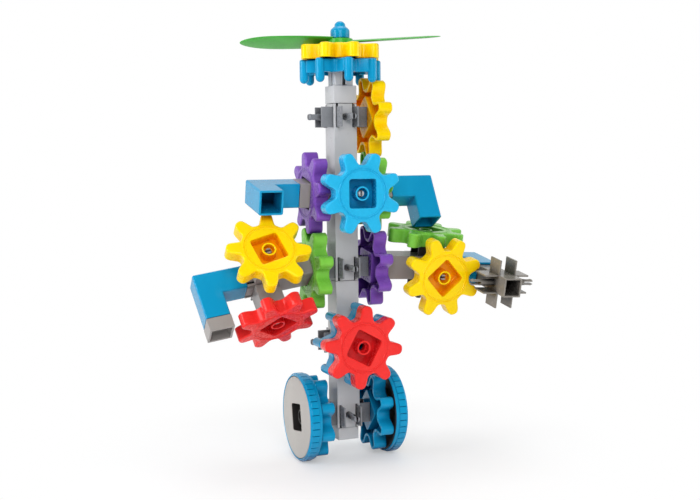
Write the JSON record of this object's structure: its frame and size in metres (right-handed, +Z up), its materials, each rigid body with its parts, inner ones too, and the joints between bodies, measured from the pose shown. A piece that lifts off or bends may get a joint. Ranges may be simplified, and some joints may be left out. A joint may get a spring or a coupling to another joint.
{
  "type": "gear construction toy",
  "caption": "Upright toy of square plastic tubes, six-way hubs and meshing gears on two wheels, with swinging arms, crown gears and a propeller on top.",
  "frame": {"origin": "middle of the flat foot under the column", "axes": "+Z up along the column, -Y to the front, +X to the right arms"},
  "size_m": [0.2357, 0.0967, 0.307],
  "materials": {
    "grey_tube": "glossy moulded plastic",
    "dark_tube": "glossy moulded plastic",
    "deep_blue": "glossy moulded plastic",
    "sky_blue": "glossy moulded plastic",
    "yellow": "glossy moulded plastic",
    "red": "glossy moulded plastic",
    "lime_green": "glossy moulded plastic",
    "leaf_green": "glossy moulded plastic",
    "purple": "glossy moulded plastic",
    "wheel_grey": "glossy moulded plastic"
  },
  "bodies": {
    "column": {"column_hub_a": "grey_tube", "column_hub_b": "grey_tube", "column_hub_c": "grey_tube", "column_hub_d": "grey_tube", "column_hub_e": "grey_tube", "column_tube_lowest": "grey_tube", "column_tube_lower": "grey_tube", "column_tube_upper": "grey_tube", "column_tube_highest": "grey_tube", "foot_cap": "grey_tube", "top_axle": "grey_tube", "front_post": "grey_tube"},
    "top_stack": {"top_crown_gear": "deep_blue", "top_gear": "yellow", "propeller": "leaf_green", "propeller_nose": "deep_blue"},
    "right_idler": {"gear_a_right": "yellow"},
    "right_upper_arm": {"gear_b_right": "lime_green", "upper_right_arm_sleeve": "dark_tube", "upper_right_arm_elbow": "deep_blue"},
    "right_lower_arm": {"gear_c_right": "purple", "lower_right_arm_tube": "dark_tube", "lower_right_arm_hub": "dark_tube", "lower_right_arm_elbow": "deep_blue", "lower_right_arm_post": "dark_tube", "hand_hub": "dark_tube"},
    "right_arm_front_gear": {"right_arm_gear_front": "yellow"},
    "right_arm_top_gear": {"right_arm_gear_top": "lime_green"},
    "left_upper_arm": {"gear_b_left": "purple", "upper_left_arm_sleeve": "dark_tube", "upper_left_arm_elbow": "deep_blue"},
    "left_lower_arm": {"gear_c_left": "lime_green", "lower_left_arm_tube": "dark_tube", "lower_left_arm_hub": "dark_tube", "lower_left_arm_elbow": "deep_blue", "lower_left_arm_end_tube": "dark_tube", "lower_left_arm_post_low": "dark_tube", "lower_left_arm_post_high": "dark_tube"},
    "left_arm_low_gear": {"left_arm_gear_low": "red"},
    "left_arm_high_gear": {"left_arm_gear_high": "yellow"},
    "upper_front_gear": {"front_gear_upper": "sky_blue"},
    "lower_front_gear": {"front_gear_lower": "red", "front_crown_gear": "deep_blue"},
    "left_wheel": {"gear_e_left": "deep_blue", "wheel_disc_left": "wheel_grey", "tyre_left": "deep_blue"},
    "right_wheel": {"gear_e_right": "deep_blue", "wheel_disc_right": "wheel_grey", "tyre_right": "deep_blue"}
  },
  "joints": [
    {"name": "right_lower_arm_swing", "type": "hinge", "parent": "column", "child": "right_lower_arm", "pos_m": [0, 0, 0.123], "axis": [1, 0, 0], "range_deg": [0, 200]},
    {"name": "right_upper_arm_swing", "type": "hinge", "parent": "column", "child": "right_upper_arm", "pos_m": [0, 0, 0.1755], "axis": [1, 0, 0], "range_deg": [-200, 0]},
    {"name": "right_idler_turn", "type": "hinge", "parent": "column", "child": "right_idler", "pos_m": [0, 0, 0.228], "axis": [1, 0, 0], "range_deg": [0, 200]},
    {"name": "propeller_turn", "type": "hinge", "parent": "column", "child": "top_stack", "pos_m": [0, 0, 0.228], "axis": [0, 0, 1], "range_deg": [-200, 0]},
    {"name": "left_lower_arm_swing", "type": "hinge", "parent": "column", "child": "left_lower_arm", "pos_m": [0, 0, 0.123], "axis": [1, 0, 0], "range_deg": [0, 160]},
    {"name": "left_upper_arm_swing", "type": "hinge", "parent": "column", "child": "left_upper_arm", "pos_m": [0, 0, 0.1755], "axis": [1, 0, 0], "range_deg": [-160, 0]},
    {"name": "upper_front_gear_spin", "type": "hinge", "parent": "column", "child": "upper_front_gear", "pos_m": [0, 0, 0.1755], "axis": [0, -1, 0], "continuous": true},
    {"name": "lower_front_gear_spin", "type": "hinge", "parent": "column", "child": "lower_front_gear", "pos_m": [0, 0, 0.0705], "axis": [0, -1, 0], "continuous": true},
    {"name": "left_wheel_spin", "type": "hinge", "parent": "column", "child": "left_wheel", "pos_m": [0, 0, 0.018], "axis": [-1, 0, 0], "continuous": true},
    {"name": "right_wheel_spin", "type": "hinge", "parent": "column", "child": "right_wheel", "pos_m": [0, 0, 0.018], "axis": [1, 0, 0], "continuous": true},
    {"name": "left_arm_high_gear_spin", "type": "hinge", "parent": "left_lower_arm", "child": "left_arm_high_gear", "pos_m": [-0.06061, 0, 0.1177], "axis": [-0.089, -0.7986, 0.5952], "continuous": true},
    {"name": "left_arm_low_gear_spin", "type": "hinge", "parent": "left_lower_arm", "child": "left_arm_low_gear", "pos_m": [-0.06061, 0, 0.1177], "axis": [0.118, -0.6018, -0.7899], "continuous": true},
    {"name": "right_arm_front_gear_spin", "type": "hinge", "parent": "right_lower_arm", "child": "right_arm_front_gear", "pos_m": [0.06195, 0, 0.12107], "axis": [-0.0082, -0.9877, -0.1562], "continuous": true},
    {"name": "right_arm_top_gear_spin", "type": "hinge", "parent": "right_lower_arm", "child": "right_arm_top_gear", "pos_m": [0.06195, 0, 0.12107], "axis": [0.0517, -0.1564, 0.9863], "continuous": true}
  ],
  "couplings": [
    {"joint": "right_upper_arm_swing", "follows": "right_lower_arm_swing", "ratio": -1},
    {"joint": "right_idler_turn", "follows": "right_lower_arm_swing", "ratio": 1},
    {"joint": "propeller_turn", "follows": "right_lower_arm_swing", "ratio": -1},
    {"joint": "left_upper_arm_swing", "follows": "left_lower_arm_swing", "ratio": -1}
  ]
}
